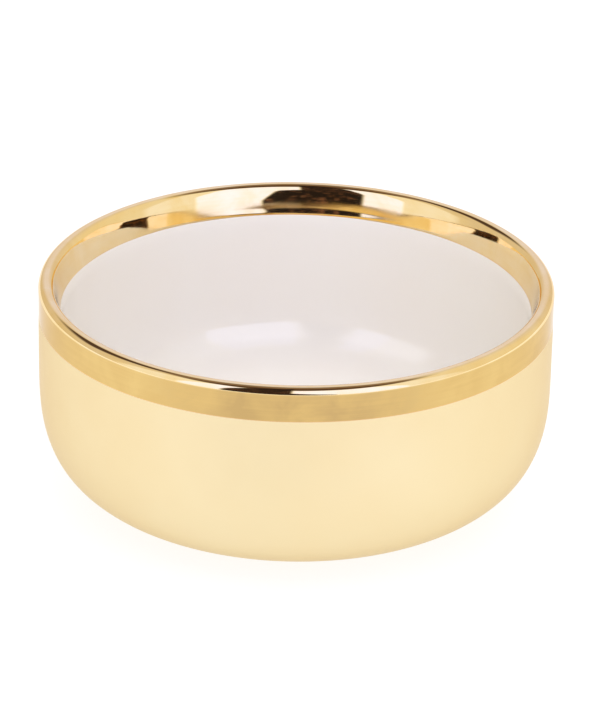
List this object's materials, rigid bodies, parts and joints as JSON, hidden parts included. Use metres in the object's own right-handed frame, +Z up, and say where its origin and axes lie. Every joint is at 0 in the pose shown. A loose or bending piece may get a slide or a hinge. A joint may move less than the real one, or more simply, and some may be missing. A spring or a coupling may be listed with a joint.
{
  "type": "serving bowl",
  "caption": "Round straight-walled porcelain bowl with a rounded belly, a low foot ring, white glaze inside, a mirror gold rim band and a pale gold outside coat.",
  "frame": {"origin": "centre of the foot ring's bearing face, on the surface that the bowl stands on", "axes": "+Z up along the bowl's axis of revolution; X and Y are any two level directions, as the bowl is round"},
  "size_m": [0.15, 0.15, 0.067],
  "materials": {
    "bare_porcelain": "fired, unglazed, ground flat on the foot ring",
    "white_glaze": "glossy white glaze, faintly warm",
    "recess_glaze": "glossy white glaze with a few pinholes",
    "bright_gold": "fired bright gold, mirror finish, banded by brush",
    "pale_gold": "fired pale gold, smooth soft gloss"
  },
  "bodies": {
    "root": {"porcelain_body": "bare_porcelain", "white_glaze": "white_glaze", "recess_glaze": "recess_glaze", "rim_gold_band": "bright_gold", "outer_gold_coat": "pale_gold"}
  },
  "joints": []
}
